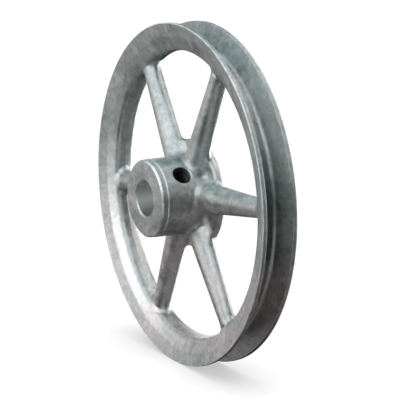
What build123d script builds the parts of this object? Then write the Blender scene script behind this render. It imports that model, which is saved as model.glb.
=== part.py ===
from build123d import *
import os
from math import sin, cos, radians, sqrt

# Single-groove V-belt pulley, one-piece die casting with six spokes, fixed bore,
# and one cup-point set screw in the hub.  Millimetres.
# Frame: the bore's axis is Y, the rim's mid-plane is Y = 0, the long side of the
# hub points to -Y, +Z is up.  Angles are measured from +X towards +Z.

# ---- rim ----
rim_radius = 76.2          # 6.00 in outside diameter
rim_width = 17.0           # between the sharp corners; 16.7 (21/32 in) over the rounded edges
rim_inner_radius = 64.2
rim_inner_half = 4.1       # half width of the rim at its inner radius
rim_draft = 0.65           # the inner surface is proud at the parting line by this much
groove_top = 12.6          # groove width at the outside diameter
groove_bottom = 6.06
groove_root_radius = 66.7
rim_edge_round = 0.4
groove_root_round = 2.4
rim_lip_round = 3.2        # where the inner surface turns into the side cones

# ---- hub ----
bore_radius = 7.9375       # 5/8 in shaft
bore_chamfer = 0.6
hub_front = -22.9
hub_back = 7.3
hub_radius = 17.1          # barrel, at the front
hub_root_radius = 17.4     # barrel, where it meets the flange (draft)
nose_radius = 16.35        # radius of the flat front face, inside the turned bevel
nose_length = 0.75
nose_land_end = -20.05     # the turned front land ends here at a low shoulder
shoulder_height = 0.18
back_boss_radius = 16.4
flange_radius = 24.4
flange_front = 0.2
flange_back = 4.2
root_fillet = 2.6
flange_edge_round = 1.2

# ---- spokes ----
spoke_count = 6
spoke_angle = 4.6          # direction of the first spoke, degrees from +X towards +Z
spoke_w_hub, spoke_w_rim = 6.65, 4.15      # half width at r = 24 and r = 64
spoke_f_hub, spoke_f_rim = 5.85, 4.00      # front half thickness
spoke_b_hub, spoke_b_rim = 2.90, 3.75      # back half thickness
foot_fillet = 5.0          # in-plane radius where a spoke runs into the rim

# ---- set screw ----
screw_angle = 43.0         # degrees from +X towards +Z
screw_y = -10.9
screw_hole_radius = 3.97   # 5/16-18 thread, major radius
screw_radius = 3.92        # 0.05 mm running clearance stands for the thread
screw_length = 4.76        # 3/16 in
screw_tip_radius_pos = 8.05    # distance of the tip from the pulley's axis
screw_mouth_radius = 4.45
hex_flats = 3.97           # 5/32 in socket
hex_depth = 2.6
cup_radius = 2.0
cup_depth = 0.9
tip_chamfer = 0.8

os.makedirs("parts", exist_ok=True)

screw_dir = Vector(cos(radians(screw_angle)), 0, sin(radians(screw_angle)))


def spoke_size(r):
    """half width, front and back half thickness of a spoke at radius r"""
    k = (r - 24.0) / 40.0
    w = spoke_w_hub + (spoke_w_rim - spoke_w_hub) * k
    f = spoke_f_hub + (spoke_f_rim - spoke_f_hub) * k
    b = spoke_b_hub + (spoke_b_rim - spoke_b_hub) * k
    a = r - (rim_inner_radius - foot_fillet)
    if a > 0:
        a = min(a, foot_fillet * 0.985)
        w += foot_fillet - sqrt(foot_fillet ** 2 - a ** 2)
    return w, f, b


# ================= pulley casting =================
with BuildPart() as pulley_casting:
    # rim and hub, turned about Y from one profile each
    with BuildSketch(Plane.XY) as rim_profile:
        with BuildLine():
            hw = rim_width / 2
            Polyline(
                (rim_inner_radius, -rim_inner_half),
                (rim_inner_radius - rim_draft, 0),
                (rim_inner_radius, rim_inner_half),
                (rim_radius, hw),
                (rim_radius, groove_top / 2),
                (groove_root_radius, groove_bottom / 2),
                (groove_root_radius, -groove_bottom / 2),
                (rim_radius, -groove_top / 2),
                (rim_radius, -hw),
                close=True,
            )
        make_face()
        outer = rim_profile.vertices().filter_by_position(Axis.X, rim_radius - 0.01, rim_radius + 0.01)
        fillet(outer, rim_edge_round)
        root = rim_profile.vertices().filter_by_position(Axis.X, groove_root_radius - 0.01, groove_root_radius + 0.01)
        fillet(root, groove_root_round)
        lips = rim_profile.vertices().filter_by_position(Axis.X, rim_inner_radius - 0.01, rim_inner_radius + 0.01)
        fillet(lips, rim_lip_round)
    revolve(axis=Axis.Y)

    with BuildSketch(Plane.XY) as hub_profile:
        with BuildLine():
            Polyline(
                (4.0, hub_front),
                (nose_radius, hub_front),
                (hub_radius, hub_front + nose_length),
                (hub_radius, nose_land_end),
                (hub_radius + shoulder_height, nose_land_end + 0.25),
                (hub_root_radius, flange_front),
                (flange_radius - 0.3, flange_front),
                (flange_radius, (flange_front + flange_back) / 2),
                (flange_radius - 0.3, flange_back),
                (back_boss_radius + 0.4, flange_back),
                (back_boss_radius, hub_back - 0.8),
                (back_boss_radius - 0.8, hub_back),
                (4.0, hub_back),
                close=True,
            )
        make_face()
        v = hub_profile.vertices()
        fillet(v.sort_by_distance((hub_root_radius, flange_front))[0], root_fillet)
        v = hub_profile.vertices()
        fillet(v.sort_by_distance((back_boss_radius + 0.4, flange_back))[0], 1.6)
        v = hub_profile.vertices()
        fillet(v.sort_by_distance((flange_radius - 0.3, flange_front))[0], flange_edge_round)
        v = hub_profile.vertices()
        fillet(v.sort_by_distance((flange_radius - 0.3, flange_back))[0], flange_edge_round)
        v = hub_profile.vertices()
        fillet(v.sort_by_distance((nose_radius, hub_front))[0], 0.25)
        v = hub_profile.vertices()
        fillet(v.sort_by_distance((hub_radius, hub_front + nose_length))[0], 0.3)
    revolve(axis=Axis.Y)

    # six tapered spokes: lens section with a ridge at the parting plane, flared
    # in the plane of the wheel where they meet the flange and the rim
    stations = [15.0, 59.2, 60.7, 61.9, 62.8, 63.5, 63.95, 65.3]
    for n in range(spoke_count):
        t = radians(spoke_angle + n * 360 / spoke_count)
        out = Vector(cos(t), 0, sin(t))
        side = Vector(-sin(t), 0, cos(t))
        for r in stations:
            w, f, b = spoke_size(r)
            with BuildSketch(Plane(origin=out * r, x_dir=side, z_dir=out)):
                with BuildLine():
                    # local y is +Y or -Y of the pulley, found from the plane
                    pl = Plane(origin=out * r, x_dir=side, z_dir=out)
                    s = 1 if pl.y_dir.Y > 0 else -1
                    ThreePointArc((-w, 0), (0, -s * f), (w, 0))
                    ThreePointArc((w, 0), (0, s * b), (-w, 0))
                make_face()
        loft(ruled=True)

    # groove stays clear of the spoke ends, and the bore runs right through
    with BuildSketch(Plane.XY) as bore_profile:
        with BuildLine():
            Polyline(
                (0, hub_front - 1),
                (bore_radius + bore_chamfer + 1, hub_front - 1),
                (bore_radius, hub_front + bore_chamfer),
                (bore_radius, hub_back - bore_chamfer),
                (bore_radius + bore_chamfer + 1, hub_back + 1),
                (0, hub_back + 1),
                close=True,
            )
        make_face()
    revolve(axis=Axis.Y, mode=Mode.SUBTRACT)

    # tapped hole for the set screw, plain at its major diameter, mouth countersunk
    hole_plane = Plane(origin=Vector(0, screw_y, 0), x_dir=(0, 1, 0), z_dir=screw_dir)
    with BuildSketch(hole_plane):
        Circle(screw_hole_radius)
    extrude(amount=hub_radius + 4, mode=Mode.SUBTRACT)
    with BuildSketch(hole_plane.offset(hub_radius + 1.2)):
        Circle(screw_mouth_radius + 1.35)
    with BuildSketch(hole_plane.offset(hub_radius - 0.85)):
        Circle(screw_hole_radius)
    loft(mode=Mode.SUBTRACT)

pulley_casting.part.label = "pulley_casting"

# ================= set screw =================
tip_plane = Plane(origin=Vector(0, screw_y, 0) + screw_dir * screw_tip_radius_pos,
                  x_dir=(0, 1, 0), z_dir=screw_dir)
with BuildPart() as set_screw:
    with BuildSketch(tip_plane):
        Circle(screw_radius)
    extrude(amount=screw_length)
    # bevelled ends
    chamfer(set_screw.edges().filter_by(GeomType.CIRCLE).sort_by(Axis((0, 0, 0), tuple(screw_dir)))[0], tip_chamfer)
    chamfer(set_screw.edges().filter_by(GeomType.CIRCLE).sort_by(Axis((0, 0, 0), tuple(screw_dir)))[-1], 0.35)
    # hexagon socket
    with BuildSketch(tip_plane.offset(screw_length)):
        RegularPolygon(hex_flats / 2, 6, major_radius=False)
    extrude(amount=-hex_depth, mode=Mode.SUBTRACT)
    # cup point
    with BuildSketch(tip_plane.offset(-0.01)):
        Circle(cup_radius)
    with BuildSketch(tip_plane.offset(cup_depth)):
        Circle(0.35)
    loft(mode=Mode.SUBTRACT)

set_screw.part.label = "set_screw"

for name, piece in (("pulley_casting", pulley_casting), ("set_screw", set_screw)):
    print(name, "solids", len(piece.solids()), "volume %.1f mm3" % piece.part.volume)

export_step(pulley_casting.part, "parts/pulley_casting.step")
export_step(set_screw.part, "parts/set_screw.step")
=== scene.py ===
import bpy
import math
import numpy as np
from mathutils import Matrix, Vector


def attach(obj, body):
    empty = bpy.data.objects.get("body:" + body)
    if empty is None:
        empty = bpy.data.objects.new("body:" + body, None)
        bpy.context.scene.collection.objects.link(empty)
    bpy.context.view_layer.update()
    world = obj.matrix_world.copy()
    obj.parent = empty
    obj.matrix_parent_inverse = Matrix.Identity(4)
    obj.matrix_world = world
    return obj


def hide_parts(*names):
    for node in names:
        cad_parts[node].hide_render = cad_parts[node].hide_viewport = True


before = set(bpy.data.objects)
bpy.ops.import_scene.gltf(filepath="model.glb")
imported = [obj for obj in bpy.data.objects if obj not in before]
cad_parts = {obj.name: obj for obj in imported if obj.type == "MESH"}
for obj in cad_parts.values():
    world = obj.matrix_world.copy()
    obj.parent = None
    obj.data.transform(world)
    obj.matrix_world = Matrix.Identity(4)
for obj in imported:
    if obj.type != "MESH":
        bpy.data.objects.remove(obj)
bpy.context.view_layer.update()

MM = 0.001

# ------------------------------------------------------------------ sizes, mm
RIM_R, RIM_HW = 76.2, 8.5
RIM_RI, RIM_HI, RIM_DRAFT, LIP = 64.2, 4.1, 0.65, 3.2
GROOVE_TOP, GROOVE_BOT, ROOT_R = 6.3, 3.03, 66.7
BORE_R, BORE_C = 7.9375, 0.6
HUB_F, HUB_B = -22.9, 7.3
HUB_R, HUB_ROOT_R, NOSE_R, NOSE_L, BOSS_R = 17.1, 17.4, 16.35, 0.75, 16.4
LAND_END, SHOULDER = -20.05, 0.18
FL_R, FL_F, FL_B = 24.4, 0.2, 4.2
N_SPOKES, SPOKE_A = 6, math.radians(4.6)
SCREW_A, SCREW_Y = math.radians(43.0), -10.9
SCREW_TIP, SCREW_LEN = 8.05, 4.76
PITCH = 25.4 / 18
OUT = Vector((math.cos(SCREW_A), 0, math.sin(SCREW_A)))


# ------------------------------------------------------------------ profiles
def rounded(points, seg=6):
    """Polygon from (r, y, radius) corners, each rounded by its radius."""
    pts = []
    n = len(points)
    for i in range(n):
        p = np.array(points[i][:2], float)
        rad = points[i][2] if len(points[i]) > 2 else 0
        if not rad:
            pts.append(p)
            continue
        a = np.array(points[i - 1][:2], float) - p
        b = np.array(points[(i + 1) % n][:2], float) - p
        a /= np.linalg.norm(a)
        b /= np.linalg.norm(b)
        half = math.acos(max(-1, min(1, a @ b))) / 2
        t = rad / math.tan(half)
        c = p + (a + b) / np.linalg.norm(a + b) * rad / math.sin(half)
        s, e = p + a * t - c, p + b * t - c
        ang0 = math.atan2(s[1], s[0])
        d = math.atan2(e[1], e[0]) - ang0
        d = (d + math.pi) % (2 * math.pi) - math.pi
        for k in range(seg + 1):
            q = ang0 + d * k / seg
            pts.append(c + rad * np.array([math.cos(q), math.sin(q)]))
    return np.array(pts)


class Turned:
    """Signed distance of a profile turned about Y, held on a fine (r, y) grid."""

    def __init__(self, poly, r0, r1, y0, y1, step=0.1):
        self.r0, self.y0, self.step = r0, y0, step
        r = np.arange(r0, r1 + step, step)
        y = np.arange(y0, y1 + step, step)
        R, Y = np.meshgrid(r, y, indexing="ij")
        best = np.full(R.shape, 1e9)
        inside = np.zeros(R.shape, bool)
        for i in range(len(poly)):
            (ax, ay), (bx, by) = poly[i - 1], poly[i]
            dx, dy = bx - ax, by - ay
            l2 = dx * dx + dy * dy
            if l2 < 1e-12:
                continue
            t = np.clip(((R - ax) * dx + (Y - ay) * dy) / l2, 0, 1)
            best = np.minimum(best, (R - ax - t * dx) ** 2 + (Y - ay - t * dy) ** 2)
            if (ay > by) != (by > ay) and ay != by:
                cross = (ay > Y) != (by > Y)
                xi = ax + (Y - ay) * dx / dy
                inside ^= cross & (R < xi)
        d = np.sqrt(best)
        self.f = np.where(inside, -d, d).astype(np.float32)

    def __call__(self, r, y):
        u = (r - self.r0) / self.step
        v = (y - self.y0) / self.step
        u = np.clip(u, 0, self.f.shape[0] - 1.001)
        v = np.clip(v, 0, self.f.shape[1] - 1.001)
        i, j = u.astype(np.int32), v.astype(np.int32)
        u, v = u - i, v - j
        f = self.f
        return (
            f[i, j] * (1 - u) * (1 - v)
            + f[i + 1, j] * u * (1 - v)
            + f[i, j + 1] * (1 - u) * v
            + f[i + 1, j + 1] * u * v
        )


def round_union(a, b, rad):
    """Union with a concave fillet of that radius."""
    u, v = np.maximum(rad - a, 0), np.maximum(rad - b, 0)
    return np.maximum(rad, np.minimum(a, b)) - np.sqrt(u * u + v * v)


def soft_max(a, b, k):
    h = np.maximum(k - np.abs(a - b), 0)
    return np.maximum(a, b) + h * h / (4 * k)


# hub blank: barrel a little under size, flange and root fillet
hub_blank = Turned(
    rounded(
        [
            (0, -19.0), (HUB_R - 0.8, -19.0), (HUB_R + SHOULDER - 0.1, -17.5), (HUB_ROOT_R - 0.1, FL_F, 2.9),
            (FL_R, FL_F, 1.4), (FL_R, FL_B, 1.4), (BOSS_R + 0.4, FL_B, 1.8), (BOSS_R - 0.12, 6.9), (0, 6.9),
        ],
        8,
    ),
    0, 72, -25.5, 11,
)
# the inner band of the rim, a little under size: the spokes' feet flow into it
rim_blank = Turned(
    rounded(
        [
            (RIM_RI + 0.12, -RIM_HI + 0.06, LIP), (RIM_RI + 0.12 - RIM_DRAFT, 0, 4), (RIM_RI + 0.12, RIM_HI - 0.06, LIP),
            (66.2, RIM_HI + 0.55), (66.2, -RIM_HI - 0.55),
        ],
        8,
    ),
    0, 72, -25.5, 11,
)


def spoke_field(r, theta, y):
    """A tapered lens-shaped spoke with a ridge at the parting plane, repeated round the hub."""
    step = 2 * math.pi / N_SPOKES
    t = theta - SPOKE_A
    t = t - step * np.round(t / step)
    a, b = r * np.cos(t), np.abs(r * np.sin(t))
    k = (a - 24.0) / 40.0
    w = 6.65 - 2.45 * k
    f = 5.9 - 1.95 * k
    g = 2.90 + 0.90 * k
    flare = np.clip(a - (RIM_RI - 5.2), 0, 5.05)
    w = w + 5.2 - np.sqrt(5.2**2 - flare**2)
    rf = (w * w + f * f) / (2 * f)
    rb = (w * w + g * g) / (2 * g)
    df = np.sqrt(b * b + (y + f - rf) ** 2) - rf
    db = np.sqrt(b * b + (y - g + rb) ** 2) - rb
    d = soft_max(df, db, 0.7)
    # inside the rim's side cones past the lip
    cap = (np.abs(y) - (RIM_HI - 0.1) - (r - RIM_RI) * 0.3667) * 0.939
    d = soft_max(d, np.where(r > 63.0, cap, -5.0), 0.5)
    return np.maximum(np.maximum(d, 12.0 - a), a - 65.6)


def blank_field(p):
    """Signed distance, mm, of spokes, hub flange and the band under the rim."""
    x, y, z = p[..., 0], p[..., 1], p[..., 2]
    r = np.sqrt(x * x + z * z)
    th = np.arctan2(z, x)
    s = spoke_field(r, th, y)
    d = round_union(s, hub_blank(r, y), 2.6)
    d = round_union(d, rim_blank(r, y), 1.5)
    return d


# ------------------------------------------------------------------ surface nets
def surface_net(field, lo, hi, step, fix=3):
    """A closed quad mesh of field = 0, its points moved onto the surface."""
    ax = [np.arange(lo[k], hi[k] + step, step, dtype=np.float32) for k in range(3)]
    n = [len(a) for a in ax]
    F = np.empty(n, np.float32)
    Y, Z = np.meshgrid(ax[1], ax[2], indexing="ij")
    for i0 in range(0, n[0], 16):
        i1 = min(i0 + 16, n[0])
        m = i1 - i0
        P = np.empty((m, n[1], n[2], 3), np.float32)
        P[..., 0] = ax[0][i0:i1, None, None]
        P[..., 1] = Y
        P[..., 2] = Z
        F[i0:i1] = field(P)
    S = F < 0
    c = S[:-1, :-1, :-1].astype(np.int8)
    for dx in (0, 1):
        for dy in (0, 1):
            for dz in (0, 1):
                if dx or dy or dz:
                    c = c + S[dx: n[0] - 1 + dx, dy: n[1] - 1 + dy, dz: n[2] - 1 + dz]
    cells = np.argwhere((c > 0) & (c < 8))
    index = np.full([k - 1 for k in n], -1, np.int32)
    index[tuple(cells.T)] = np.arange(len(cells))
    corner = np.array([[a, b, d] for a in (0, 1) for b in (0, 1) for d in (0, 1)])
    val = np.stack([F[tuple((cells + k).T)] for k in corner], 1)
    total = np.zeros((len(cells), 3))
    count = np.zeros(len(cells))
    for i in range(8):
        for j in range(i + 1, 8):
            if np.abs(corner[i] - corner[j]).sum() != 1:
                continue
            vi, vj = val[:, i], val[:, j]
            hit = (vi < 0) != (vj < 0)
            t = np.where(hit, vi / np.where(hit, vi - vj, 1), 0)
            q = corner[i][None] + t[:, None] * (corner[j] - corner[i])[None]
            total += np.where(hit[:, None], q, 0)
            count += hit
    verts = np.array(lo)[None] + step * (cells + total / count[:, None])
    quads = []
    for axis in range(3):
        a = [slice(None)] * 3
        b = [slice(None)] * 3
        a[axis], b[axis] = slice(0, n[axis] - 1), slice(1, n[axis])
        s0, s1 = S[tuple(a)], S[tuple(b)]
        e = np.argwhere(s0 != s1)
        u, v = [(1, 2), (2, 0), (0, 1)][axis]
        ok = (e[:, u] > 0) & (e[:, v] > 0) & (e[:, u] < n[u] - 1) & (e[:, v] < n[v] - 1)
        e = e[ok]
        first = s0[tuple(e.T)]
        du, dv = np.zeros(3, int), np.zeros(3, int)
        du[u], dv[v] = 1, 1
        q = np.stack([index[tuple((e - du - dv).T)], index[tuple((e - dv).T)], index[tuple(e.T)], index[tuple((e - du).T)]], 1)
        q[~first] = q[~first][:, ::-1]
        quads.append(q)
    quads = np.concatenate(quads)
    eps = 0.02
    for _ in range(fix):
        g = np.stack(
            [
                (field(verts + eps * np.eye(3)[k]) - field(verts - eps * np.eye(3)[k])) / (2 * eps)
                for k in range(3)
            ],
            1,
        )
        l2 = np.maximum((g * g).sum(1), 0.25)
        move = -(field(verts) / l2)[:, None] * g
        size = np.linalg.norm(move, axis=1, keepdims=True)
        verts = verts + move * np.minimum(1, 0.4 * step / np.maximum(size, 1e-9))
    return verts, quads


def mesh_object(name, verts, faces, scale=MM):
    me = bpy.data.meshes.new(name)
    v = (np.asarray(verts, float) * scale).astype(np.float32)
    if isinstance(faces, np.ndarray):
        f = faces.astype(np.int32)
        k = f.shape[1]
        me.vertices.add(len(v))
        me.vertices.foreach_set("co", v.ravel())
        me.loops.add(f.size)
        me.loops.foreach_set("vertex_index", f.ravel())
        me.polygons.add(len(f))
        me.polygons.foreach_set("loop_start", np.arange(0, f.size, k, dtype=np.int32))
        me.update(calc_edges=True)
    else:
        me.from_pydata(v.tolist(), [], [list(q) for q in faces])
    me.validate()
    ob = bpy.data.objects.new(name, me)
    bpy.context.scene.collection.objects.link(ob)
    return ob


def turned_mesh(name, poly, seg):
    """Closed profile (r > 0, y) turned about Y, outward facing."""
    poly = np.asarray(poly)
    n = len(poly)
    t = np.linspace(0, 2 * math.pi, seg, endpoint=False)
    v = np.stack(
        [
            poly[None, :, 0] * np.cos(t)[:, None],
            np.broadcast_to(poly[None, :, 1], (seg, n)),
            poly[None, :, 0] * np.sin(t)[:, None],
        ],
        -1,
    ).reshape(-1, 3)
    i, j = np.meshgrid(np.arange(seg), np.arange(n), indexing="ij")
    a = i * n + j
    b = i * n + (j + 1) % n
    c = ((i + 1) % seg) * n + (j + 1) % n
    d = ((i + 1) % seg) * n + j
    f = np.stack([a, b, c, d], -1).reshape(-1, 4)
    area = 0.5 * np.sum(poly[:, 0] * np.roll(poly[:, 1], -1) - np.roll(poly[:, 0], -1) * poly[:, 1])
    if area < 0:
        f = f[:, ::-1]
    return mesh_object(name, v, f)


def turned_solid(name, line, seg):
    """Open line from axis to axis ((0, y) ... (0, y)) turned about Y into a closed solid."""
    line = np.asarray(line)
    inner = line[1:-1]
    n = len(inner)
    t = np.linspace(0, 2 * math.pi, seg, endpoint=False)
    v = np.stack(
        [
            inner[None, :, 0] * np.cos(t)[:, None],
            np.broadcast_to(inner[None, :, 1], (seg, n)),
            inner[None, :, 0] * np.sin(t)[:, None],
        ],
        -1,
    ).reshape(-1, 3)
    v = np.concatenate([v, [[0, line[0][1], 0]], [[0, line[-1][1], 0]]])
    s, e = seg * n, seg * n + 1
    faces = []
    for i in range(seg):
        k = (i + 1) % seg
        faces.append((s, i * n, k * n))
        for j in range(n - 1):
            faces.append((i * n + j, i * n + j + 1, k * n + j + 1, k * n + j))
        faces.append((e, k * n + n - 1, i * n + n - 1))
    ob = mesh_object(name, v, faces)
    return ob


def outward(ob):
    """Faces of a closed mesh turned to point out."""
    import bmesh
    bm = bmesh.new()
    bm.from_mesh(ob.data)
    bmesh.ops.remove_doubles(bm, verts=bm.verts, dist=1e-7)
    bmesh.ops.recalc_face_normals(bm, faces=bm.faces)
    if bm.calc_volume(signed=True) < 0:
        bmesh.ops.reverse_faces(bm, faces=bm.faces)
    open_edges = sum(not e.is_manifold for e in bm.edges)
    bm.to_mesh(ob.data)
    bm.free()
    print(ob.name, "verts", len(ob.data.vertices), "faces", len(ob.data.polygons), "open edges", open_edges)
    return ob


def combine(a, b, how):
    """a = a (union, difference or intersection) b; b is removed."""
    m = a.modifiers.new("join", "BOOLEAN")
    m.object = b
    m.operation = how
    try:
        m.solver = "MANIFOLD"
    except TypeError:
        m.solver = "EXACT"
    dg = bpy.context.evaluated_depsgraph_get()
    me = bpy.data.meshes.new_from_object(a.evaluated_get(dg))
    a.modifiers.clear()
    old = a.data
    a.data = me
    bpy.data.meshes.remove(old)
    bpy.data.objects.remove(b)
    print(how, a.name, "faces", len(a.data.polygons))
    return a


def thread_mesh(name, nodes, z0, z1, cols=72):
    """Closed threaded rod along the set screw's axis. nodes: (u, r) of the thread profile over one pitch, u in 0..1."""
    m = len(nodes)
    turns = int(math.ceil((z1 - z0) / PITCH)) + 1
    rows = turns * m
    base = math.floor(z0 / PITCH)
    side = Vector((0, 1, 0))
    other = OUT.cross(side)
    v = []
    for i in range(cols):
        f = i / cols
        c, s = math.cos(2 * math.pi * f), math.sin(2 * math.pi * f)
        for k in range(rows + m + 1):
            u, r = nodes[k % m]
            z = PITCH * (base + k // m + f + u)
            v.append(OUT * z + (side * c + other * s) * r + Vector((0, SCREW_Y, 0)))
    n = rows + m + 1
    faces = []
    for i in range(cols):
        for k in range(rows):
            if i < cols - 1:
                faces.append((i * n + k, (i + 1) * n + k, (i + 1) * n + k + 1, i * n + k + 1))
            else:
                faces.append((i * n + k, k + m, k + m + 1, i * n + k + 1))
    # column 0 starts m rows lower than its neighbour across the seam
    lo_ring = [i * n for i in range(cols)] + list(range(m, 0, -1))
    hi_ring = [i * n + rows for i in range(cols)] + list(range(rows + m, rows, -1))
    zl = PITCH * (base + 0.5)
    zh = PITCH * (base + turns + 0.5)
    v.append(OUT * zl + Vector((0, SCREW_Y, 0)))
    v.append(OUT * zh + Vector((0, SCREW_Y, 0)))
    cl, ch = len(v) - 2, len(v) - 1
    for ring, c in ((lo_ring, cl), (hi_ring, ch)):
        for q in range(len(ring)):
            faces.append((ring[q], ring[(q + 1) % len(ring)], c))
    # drop unused rows of columns > 0
    used = sorted({q for f in faces for q in f})
    new = {q: k for k, q in enumerate(used)}
    v = [v[q] for q in used]
    faces = [tuple(new[q] for q in f) for f in faces]
    return outward(mesh_object(name, [tuple(q) for q in v], faces))


def along_screw(ob):
    """Turns a mesh made about Y so that +Y runs out along the set screw."""
    side = Vector((0, 1, 0))
    x = side
    y = OUT
    z = x.cross(y)
    m = Matrix(((x.x, y.x, z.x, 0), (x.y, y.y, z.y, SCREW_Y * MM), (x.z, y.z, z.z, 0), (0, 0, 0, 1)))
    ob.data.transform(m)
    return outward(ob)


# ------------------------------------------------------------------ the casting
STEP = 0.5
SEG = 352
verts, quads = surface_net(blank_field, (-67.2, -23.6, -67.2), (67.2, 8.2, 67.2), STEP)
casting = outward(mesh_object("pulley_casting_body", verts, quads))

rim_line = rounded(
    [
        (RIM_RI, -RIM_HI, LIP), (RIM_RI - RIM_DRAFT, 0, 4), (RIM_RI, RIM_HI, LIP),
        (RIM_R, RIM_HW, 0.42), (RIM_R, GROOVE_TOP, 0.6), (ROOT_R, GROOVE_BOT, 2.6),
        (ROOT_R, -GROOVE_BOT, 2.6), (RIM_R, -GROOVE_TOP, 0.6), (RIM_R, -RIM_HW, 0.42),
    ],
    7,
)
rim = outward(turned_mesh("rim_ring", rim_line, SEG))
combine(casting, rim, "UNION")

barrel_line = rounded(
    [
        (0, HUB_F), (NOSE_R, HUB_F, 0.2), (HUB_R, HUB_F + NOSE_L, 0.25), (HUB_R, LAND_END, 0.1),
        (HUB_R + SHOULDER, LAND_END + 0.25, 0.12), (HUB_ROOT_R, FL_F + 1.0),
        (BOSS_R + 0.2, FL_F + 1.6), (BOSS_R, HUB_B - 0.8, 0.5), (BOSS_R - 0.8, HUB_B, 0.4), (0, HUB_B),
    ],
    4,
)
barrel = outward(turned_solid("barrel_blank", barrel_line, SEG // 2))
combine(casting, barrel, "UNION")

bore_line = [
    (0, HUB_F - 2), (BORE_R + BORE_C + 2, HUB_F - 2), (BORE_R, HUB_F + BORE_C),
    (BORE_R, HUB_B - BORE_C), (BORE_R + BORE_C + 2, HUB_B + 2), (0, HUB_B + 2),
]
combine(casting, outward(turned_solid("bore_cutter", bore_line, 160)), "DIFFERENCE")
tap = thread_mesh("tap", [(0.0, 3.32), (0.1635, 3.32), (0.4375, 3.99), (0.5625, 3.99), (0.8365, 3.32)], 4.0, 19.0)
combine(casting, tap, "DIFFERENCE")
sink = along_screw(turned_solid("sink", [(0, 15.9), (3.2, 15.9), (3.3, 15.9), (4.5, 17.1), (6.9, 19.5), (0, 19.5)], 96))
combine(casting, sink, "DIFFERENCE")

# ------------------------------------------------------------------ the set screw
screw = thread_mesh("set_screw_body", [(0.0, 3.22), (0.169, 3.22), (0.455, 3.92), (0.545, 3.92), (0.831, 3.22)], 6.0, 15.0)
t0, t1 = SCREW_TIP, SCREW_TIP + SCREW_LEN
envelope = along_screw(
    turned_solid(
        "envelope",
        [
            (0, t0 + 1.0), (0.5, t0 + 0.95), (1.95, t0 + 0.12), (2.15, t0), (2.45, t0), (2.6, t0 + 0.08),
            (4.3, t0 + 1.3), (4.3, t1 - 0.75), (3.3, t1), (0, t1),
        ],
        96,
    )
)
combine(screw, envelope, "INTERSECT")
AF = 3.97 / 2
hex_r = AF / math.cos(math.pi / 6)
v, f = [], []
for s, k in ((t1 + 1.0, 1.0), (t1 - 2.3, 1.0)):
    for i in range(6):
        a = math.pi / 3 * i + math.pi / 6
        v.append((hex_r * k * math.cos(a), s, hex_r * k * math.sin(a)))
v += [(0, t1 + 1.0, 0), (0, t1 - 3.0, 0)]
for i in range(6):
    k = (i + 1) % 6
    f += [(i, k, 6 + k, 6 + i), (i, 12, k), (6 + i, 6 + k, 13)]
combine(screw, along_screw(mesh_object("hex_key", v, f)), "DIFFERENCE")

for ob in (casting, screw):
    ob.data.shade_smooth() if hasattr(ob.data, "shade_smooth") else None
    ob.data.set_sharp_from_angle(angle=math.radians(32))

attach(casting, "casting")
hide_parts("pulley_casting")
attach(screw, "screw")
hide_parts("set_screw")


# ------------------------------------------------------------------ materials
def socket(node, names):
    for n in names:
        if n in node.inputs:
            return node.inputs[n]
    raise KeyError(names)


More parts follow.
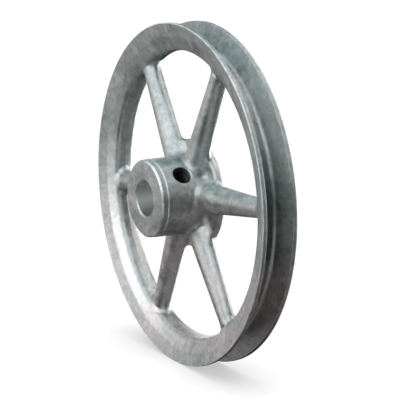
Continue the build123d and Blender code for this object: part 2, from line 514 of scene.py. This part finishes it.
class Nodes:
    """A small helper to write node trees."""

    def __init__(self, name):
        self.mat = bpy.data.materials.new(name)
        self.mat.use_nodes = True
        self.t = self.mat.node_tree
        self.t.nodes.clear()
        self.out = self.t.nodes.new("ShaderNodeOutputMaterial")
        self.bsdf = self.t.nodes.new("ShaderNodeBsdfPrincipled")
        self.link(self.bsdf.outputs[0], self.out.inputs[0])
        self.pos = self.t.nodes.new("ShaderNodeTexCoord").outputs["Object"]

    def link(self, a, b):
        self.t.links.new(a, b)

    def put(self, node, key, value):
        if isinstance(value, bpy.types.NodeSocket):
            self.link(value, node.inputs[key])
        else:
            node.inputs[key].default_value = value

    def math(self, op, a, b=0.0, c=0.0, clamp=False):
        n = self.t.nodes.new("ShaderNodeMath")
        n.operation = op
        n.use_clamp = clamp
        for k, v in enumerate((a, b, c)):
            self.put(n, k, v)
        return n.outputs[0]

    def noise(self, scale, detail=4.0, rough=0.55, vec=None, distort=0.0):
        n = self.t.nodes.new("ShaderNodeTexNoise")
        self.put(n, "Scale", scale)
        self.put(n, "Detail", detail)
        self.put(n, "Roughness", rough)
        self.put(n, "Distortion", distort)
        self.link(vec or self.pos, n.inputs["Vector"])
        return n.outputs["Fac"] if "Fac" in n.outputs else n.outputs[0]

    def voronoi(self, scale, vec=None, feature="F1"):
        n = self.t.nodes.new("ShaderNodeTexVoronoi")
        n.feature = feature
        self.put(n, "Scale", scale)
        self.link(vec or self.pos, n.inputs["Vector"])
        return n.outputs["Distance"]

    def ramp(self, value, stops, interp="LINEAR"):
        n = self.t.nodes.new("ShaderNodeValToRGB")
        n.color_ramp.interpolation = interp
        e = n.color_ramp.elements
        while len(e) < len(stops):
            e.new(0.5)
        for k, (p, c) in enumerate(stops):
            e[k].position = p
            e[k].color = (c, c, c, 1) if isinstance(c, (int, float)) else (*c, 1)
        self.link(value, n.inputs[0])
        return n.outputs[0]

    def map(self, value, a0, a1, b0, b1):
        n = self.t.nodes.new("ShaderNodeMapRange")
        n.clamp = True
        for k, v in (("From Min", a0), ("From Max", a1), ("To Min", b0), ("To Max", b1)):
            n.inputs[k].default_value = v
        self.link(value, n.inputs["Value"])
        return n.outputs["Result"]

    def mix(self, fac, a, b, mode="MIX"):
        n = self.t.nodes.new("ShaderNodeMix")
        n.data_type = "RGBA"
        n.blend_type = mode
        for key, v in ((0, fac), (6, a), (7, b)):
            if isinstance(v, bpy.types.NodeSocket):
                self.link(v, n.inputs[key])
            elif key == 0:
                n.inputs[0].default_value = v
            else:
                n.inputs[key].default_value = (*v, 1) if len(v) == 3 else v
        return n.outputs[2]

    def bump(self, height, strength, distance, normal=None):
        n = self.t.nodes.new("ShaderNodeBump")
        n.inputs["Strength"].default_value = strength
        n.inputs["Distance"].default_value = distance
        self.link(height, n.inputs["Height"])
        if normal is not None:
            self.link(normal, n.inputs["Normal"])
        return n.outputs["Normal"]


def cast_metal():
    m = Nodes("die_cast_metal")
    b = m.bsdf
    sep = m.t.nodes.new("ShaderNodeSeparateXYZ")
    m.link(m.pos, sep.inputs[0])
    x, y, z = sep.outputs
    rr = m.math("SQRT", m.math("ADD", m.math("MULTIPLY", x, x), m.math("MULTIPLY", z, z)))
    cloud = m.noise(55, 5, 0.6)
    mottle = m.noise(230, 4, 0.6, distort=0.7)
    blotch = m.noise(480, 2, 0.5, distort=0.3)
    grain = m.noise(1500, 4, 0.6)
    pits = m.voronoi(420)
    # the tumbled surface: lighter rubbed patches over a darker skin
    shade = m.math("ADD", m.math("MULTIPLY", cloud, 0.34), m.math("MULTIPLY", mottle, 0.40))
    shade = m.math("ADD", shade, m.math("MULTIPLY", blotch, 0.26))
    tone = m.ramp(
        shade,
        [(0.37, (0.33, 0.335, 0.342)), (0.44, (0.43, 0.436, 0.44)), (0.50, (0.50, 0.50, 0.50)), (0.56, (0.58, 0.575, 0.57)), (0.66, (0.71, 0.703, 0.696))],
    )
    # painted light colour: greenish on the upper part and a little pink on the lower part (set by height, broken up by
    # the cloud noise), standing in for coloured light falling from above and below
    low = m.math("MULTIPLY", m.map(z, -0.030, 0.012, 1.0, 0.0), m.map(cloud, 0.42, 0.60, 0.3, 1.0))
    painted_light_tint = m.mix(low, (0.955, 1.0, 0.985), (1.035, 0.985, 0.985))
    tone = m.mix(1.0, tone, painted_light_tint, "MULTIPLY")
    speck = m.map(m.noise(900, 3, 0.7), 0.68, 0.76, 0.0, 1.0)
    tone = m.mix(m.math("MULTIPLY", speck, 0.3), tone, (0.85, 0.85, 0.84))
    dark = m.map(m.noise(760, 3, 0.7), 0.25, 0.33, 1.0, 0.0)
    tone = m.mix(m.math("MULTIPLY", dark, 0.35), tone, (0.2, 0.2, 0.205))
    # edges painted brighter: partly rubbed bright in use, partly a painted highlight, on the rim's outer corners and
    # the turned nose and ledge of the hub
    rub_and_highlight_break = m.map(mottle, 0.35, 0.6, 0.35, 1.0)
    lip = m.math("MULTIPLY", m.map(rr, 0.07555, 0.0760, 0.0, 1.0), m.map(m.math("ABSOLUTE", y), 0.0077, 0.0080, 0.0, 1.0))
    nose = m.math("MULTIPLY", m.map(rr, 0.0161, 0.0164, 0.0, 1.0), m.map(y, -0.0223, -0.0221, 1.0, 0.0))
    ledge = m.math("MULTIPLY", m.map(rr, 0.01705, 0.01712, 0.0, 1.0), m.math("MULTIPLY", m.map(y, -0.0202, -0.0200, 0.0, 1.0), m.map(y, -0.0196, -0.0192, 1.0, 0.0)))
    edge = m.math("MULTIPLY", m.math("MAXIMUM", lip, m.math("MAXIMUM", nose, ledge)), rub_and_highlight_break)
    # the edge bands are painted lighter here, partly as a painted highlight
    tone = m.mix(m.math("MULTIPLY", edge, 0.85), tone, (0.92, 0.92, 0.915))
    # the machined bore is painted brighter: partly its cleaner finish, partly a painted reflection of the bright light
    # seen inside the bore
    bore_clean_and_sheen = m.math("MULTIPLY", m.map(rr, 0.0080, 0.0082, 1.0, 0.0), 0.75)
    tone = m.mix(bore_clean_and_sheen, tone, (0.86, 0.86, 0.855))
    # painted shade: the set screw's tapped opening is painted near black where only shade falls inside it
    ax = m.t.nodes.new("ShaderNodeVectorMath")
    ax.operation = "SUBTRACT"
    m.link(m.pos, ax.inputs[0])
    ax.inputs[1].default_value = (0, SCREW_Y * MM, 0)
    cr = m.t.nodes.new("ShaderNodeVectorMath")
    cr.operation = "CROSS_PRODUCT"
    m.link(ax.outputs[0], cr.inputs[0])
    cr.inputs[1].default_value = OUT
    ln = m.t.nodes.new("ShaderNodeVectorMath")
    ln.operation = "LENGTH"
    m.link(cr.outputs[0], ln.inputs[0])
    dt = m.t.nodes.new("ShaderNodeVectorMath")
    dt.operation = "DOT_PRODUCT"
    m.link(ax.outputs[0], dt.inputs[0])
    dt.inputs[1].default_value = OUT
    # painted shade mask: within about 4 mm of the screw's axis, between about 8 and 18 mm out along it
    painted_hole_shade = m.math("MULTIPLY", m.map(ln.outputs["Value"], 0.0040, 0.0043, 1.0, 0.0), m.map(dt.outputs["Value"], 0.0082, 0.0086, 0.0, 1.0))
    painted_hole_shade = m.math("MULTIPLY", painted_hole_shade, m.map(dt.outputs["Value"], 0.0180, 0.0185, 1.0, 0.0))
    tone = m.mix(m.math("MULTIPLY", painted_hole_shade, 0.93), tone, (0.03, 0.03, 0.032))
    b.inputs["Metallic"].default_value = 1.0
    m.link(tone, b.inputs["Base Color"])
    rough = m.math("ADD", m.map(mottle, 0.3, 0.75, 0.40, 0.60), m.map(cloud, 0.3, 0.7, -0.04, 0.05))
    rough = m.math("SUBTRACT", rough, m.math("MULTIPLY", edge, 0.08))
    rough = m.math("SUBTRACT", rough, m.math("MULTIPLY", bore_clean_and_sheen, 0.16))
    # the groove is left as cast and duller
    groove = m.math("MULTIPLY", m.map(rr, 0.0662, 0.0665, 0.0, 1.0), m.map(m.math("ABSOLUTE", y), 0.0066, 0.0062, 1.0, 0.0))
    rough = m.math("ADD", rough, m.math("MULTIPLY", groove, 0.17))
    m.link(rough, b.inputs["Roughness"])
    h = m.math("ADD", m.math("MULTIPLY", mottle, 0.6), m.math("MULTIPLY", grain, 0.25))
    h = m.math("ADD", h, m.math("MULTIPLY", blotch, 0.3))
    nrm = m.bump(h, 0.55, 0.0004)
    pit = m.map(pits, 0.0, 0.12, 0.0, 1.0)
    nrm = m.bump(pit, 0.3, 0.00014, nrm)
    flash = m.math("SUBTRACT", 1.0, m.map(m.math("ABSOLUTE", y), 0.00005, 0.00025, 0.0, 1.0))
    web = m.math("MULTIPLY", m.map(rr, 0.0248, 0.026, 0.0, 1.0), m.map(rr, 0.0645, 0.0655, 1.0, 0.0))
    nrm = m.bump(m.math("MULTIPLY", flash, web), 0.5, 0.0001, nrm)
    m.link(nrm, b.inputs["Normal"])
    return m.mat


def black_steel():
    m = Nodes("black_oxide_steel")
    b = m.bsdf
    mottle = m.noise(700, 5, 0.6)
    tone = m.ramp(mottle, [(0.3, (0.025, 0.025, 0.027)), (0.7, (0.075, 0.074, 0.073))])
    b.inputs["Metallic"].default_value = 0.85
    m.link(tone, b.inputs["Base Color"])
    m.link(m.map(mottle, 0.3, 0.7, 0.30, 0.48), b.inputs["Roughness"])
    m.link(m.bump(m.noise(1800, 3, 0.6), 0.3, 0.00005), b.inputs["Normal"])
    return m.mat


casting.data.materials.clear()
casting.data.materials.append(cast_metal())
screw.data.materials.clear()
screw.data.materials.append(black_steel())

# ------------------------------------------------------------------ stage
FLOOR = -RIM_R * MM
floor = mesh_object("floor", [(-6, -6, FLOOR), (6, -6, FLOOR), (6, 6, FLOOR), (-6, 6, FLOOR)], [(0, 1, 2, 3)], 1.0)
fm = bpy.data.materials.new("white_floor")
fm.use_nodes = True
ft = fm.node_tree
ft.nodes.clear()
fo = ft.nodes.new("ShaderNodeOutputMaterial")
fe = ft.nodes.new("ShaderNodeEmission")
# painted shadow: a bright emitting sweep, painted grey by ambient occlusion only where the wheel stands close over it
painted_shadow_ao = ft.nodes.new("ShaderNodeAmbientOcclusion")
painted_shadow_ao.samples = 32
painted_shadow_ao.inputs["Distance"].default_value = 0.033
fn = ft.nodes.new("ShaderNodeCombineXYZ")
for k, c in enumerate(Vector((0.12, -0.10, 1.0)).normalized()):
    fn.inputs[k].default_value = c
ft.links.new(fn.outputs[0], painted_shadow_ao.inputs["Normal"])
fr = ft.nodes.new("ShaderNodeValToRGB")
stops = [(0.0, 0.46), (0.5, 0.65), (0.78, 0.85), (0.94, 0.97), (1.0, 1.0)]
el = fr.color_ramp.elements
while len(el) < len(stops):
    el.new(0.5)
for k, (p, c) in enumerate(stops):
    el[k].position = p
    el[k].color = (c, c, c, 1)
ft.links.new(painted_shadow_ao.outputs["AO"], fr.inputs[0])
ft.links.new(fr.outputs[0], fe.inputs["Color"])
fe.inputs["Strength"].default_value = 1.06
ft.links.new(fe.outputs[0], fo.inputs[0])
floor.data.materials.append(fm)
floor.visible_glossy = False
floor.visible_diffuse = False

world = bpy.data.worlds.new("studio")
bpy.context.scene.world = world
world.use_nodes = True
wt = world.node_tree
wt.nodes.clear()
wo = wt.nodes.new("ShaderNodeOutputWorld")
cam_bg = wt.nodes.new("ShaderNodeBackground")
env_bg = wt.nodes.new("ShaderNodeBackground")
pick = wt.nodes.new("ShaderNodeMixShader")
lp = wt.nodes.new("ShaderNodeLightPath")
tc = wt.nodes.new("ShaderNodeTexCoord")
ws = wt.nodes.new("ShaderNodeSeparateXYZ")
wr = wt.nodes.new("ShaderNodeValToRGB")
wm = wt.nodes.new("ShaderNodeMath")
wm.operation = "MULTIPLY_ADD"
wm.inputs[1].default_value = 0.5
wm.inputs[2].default_value = 0.5
wt.links.new(tc.outputs["Generated"], ws.inputs[0])
wt.links.new(ws.outputs[2], wm.inputs[0])
wt.links.new(wm.outputs[0], wr.inputs[0])
stops = [(0.0, 0.0), (0.35, 0.0), (0.5, 0.01), (0.75, 0.02), (1.0, 0.03)]
el = wr.color_ramp.elements
while len(el) < len(stops):
    el.new(0.5)
for k, (p, c) in enumerate(stops):
    el[k].position = p
    el[k].color = (c, c, c * 1.02, 1)
wt.links.new(wr.outputs[0], env_bg.inputs["Color"])
cam_bg.inputs["Color"].default_value = (1, 1, 1, 1)
cam_bg.inputs["Strength"].default_value = 1.1
wt.links.new(lp.outputs["Is Camera Ray"], pick.inputs[0])
wt.links.new(env_bg.outputs[0], pick.inputs[1])
wt.links.new(cam_bg.outputs[0], pick.inputs[2])
wt.links.new(pick.outputs[0], wo.inputs[0])


def softbox(name, direction, dist, size, power, size_y=None, target=(0, 0, 0), color=(1, 1, 1)):
    d = Vector(direction).normalized()
    li = bpy.data.lights.new(name, "AREA")
    li.shape = "RECTANGLE"
    li.size = size
    li.size_y = size_y or size
    li.energy = power
    li.color = color
    ob = bpy.data.objects.new(name, li)
    ob.location = Vector(target) + d * dist
    ob.rotation_euler = d.to_track_quat("Z", "Y").to_euler()
    bpy.context.scene.collection.objects.link(ob)
    return ob


# the panels light the object and not the floor
lit = bpy.data.collections.new("object_lit")
for ob in [casting, screw] + list(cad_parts.values()):
    lit.objects.link(ob)

# soft white panels round the object: (direction from the object, red, green and blue power)
PANELS = [
    ((0.027, 0.311, 0.95), (1.7, 1.46, 1.51)),
    ((-0.128, -0.476, 0.87), (0.99, 0.99, 1.13)),
    ((-0.243, 0.467, 0.85), (0.36, 0.74, 0.71)),
    ((0.26, 0.555, 0.79), (2.04, 2.23, 2.18)),
    ((-0.405, -0.576, 0.71), (0.89, 1.1, 1.03)),
    ((0.568, -0.478, 0.67), (2.11, 2.33, 2.42)),
    ((-0.759, -0.031, 0.65), (0.69, 0.95, 1.11)),
    ((-0.037, -0.792, 0.61), (0.61, 0.83, 1.02)),
    ((0.428, -0.746, 0.51), (1.51, 1.51, 1.44)),
    ((0.005, 0.963, 0.27), (1.62, 1.19, 1.13)),
    ((-0.176, -0.966, 0.19), (2.22, 2.14, 2.17)),
    ((-0.882, -0.453, 0.13), (0.53, 0.56, 0.54)),
    ((0.346, 0.932, 0.11), (3.65, 4.02, 4.04)),
    ((-0.901, 0.427, 0.07), (1.82, 1.64, 1.48)),
    ((-0.505, -0.862, 0.03), (1.17, 1.2, 1.15)),
    ((-0.992, -0.124, -0.03), (0.63, 0.52, 0.54)),
    ((-0.402, 0.881, -0.25), (4.89, 6.07, 6.02)),
    ((0.66, -0.616, -0.43), (0.99, 1.19, 1.21)),
    ((-0.709, -0.441, -0.55), (0.29, 0.29, 0.29)),
    ((0.399, 0.555, -0.73), (0.66, 0.61, 0.59)),
    ((-0.42, -0.41, -0.81), (0.45, 0.44, 0.44)),
    ((0.334, -0.408, -0.85), (0.44, 0.35, 0.36)),
]
for k, (way, rgb) in enumerate(PANELS):
    top = max(rgb)
    lamp = softbox("panel_%d" % k, way, 1.0, 0.5, top, color=tuple(c / top for c in rgb))
    lamp.light_linking.receiver_collection = lit

# a small one close to the rim's lower left front
foot = Vector((-56, -7, -44)) * MM
lamp = softbox("panel_low", (-0.459, -0.884, 0.094), 0.16, 0.05, 0.0032, target=foot)
lamp.data.spread = math.radians(38)
lamp.light_linking.receiver_collection = lit

# ------------------------------------------------------------------ camera
A, E, RHO = math.radians(61.063), math.radians(11.784), -0.0004
F_PX, D_CAM = 1762.5, 10.28 * 76.2 * MM
back = Vector((math.sin(A) * math.cos(E), -math.cos(A) * math.cos(E), math.sin(E)))
right0 = Vector((math.cos(A), math.sin(A), 0))
up0 = back.cross(right0)
right = right0 * math.cos(RHO) + up0 * math.sin(RHO)
up = up0 * math.cos(RHO) - right0 * math.sin(RHO)
axis = (back * F_PX - right * (200 - 190.2) + up * (200 - 193.6)).normalized()
cx = (right - axis * right.dot(axis)).normalized()
cy = axis.cross(cx)
cam_data = bpy.data.cameras.new("camera")
cam_data.sensor_width = 36
cam_data.lens = 36 * F_PX / 400
cam_data.clip_start = 0.05
cam = bpy.data.objects.new("camera", cam_data)
p = back * D_CAM
cam.matrix_world = Matrix(((cx.x, cy.x, axis.x, p.x), (cx.y, cy.y, axis.y, p.y), (cx.z, cy.z, axis.z, p.z), (0, 0, 0, 1)))
bpy.context.scene.collection.objects.link(cam)
bpy.context.scene.camera = cam
bpy.context.scene.view_settings.view_transform = "Standard"
bpy.context.scene.view_settings.look = "None"
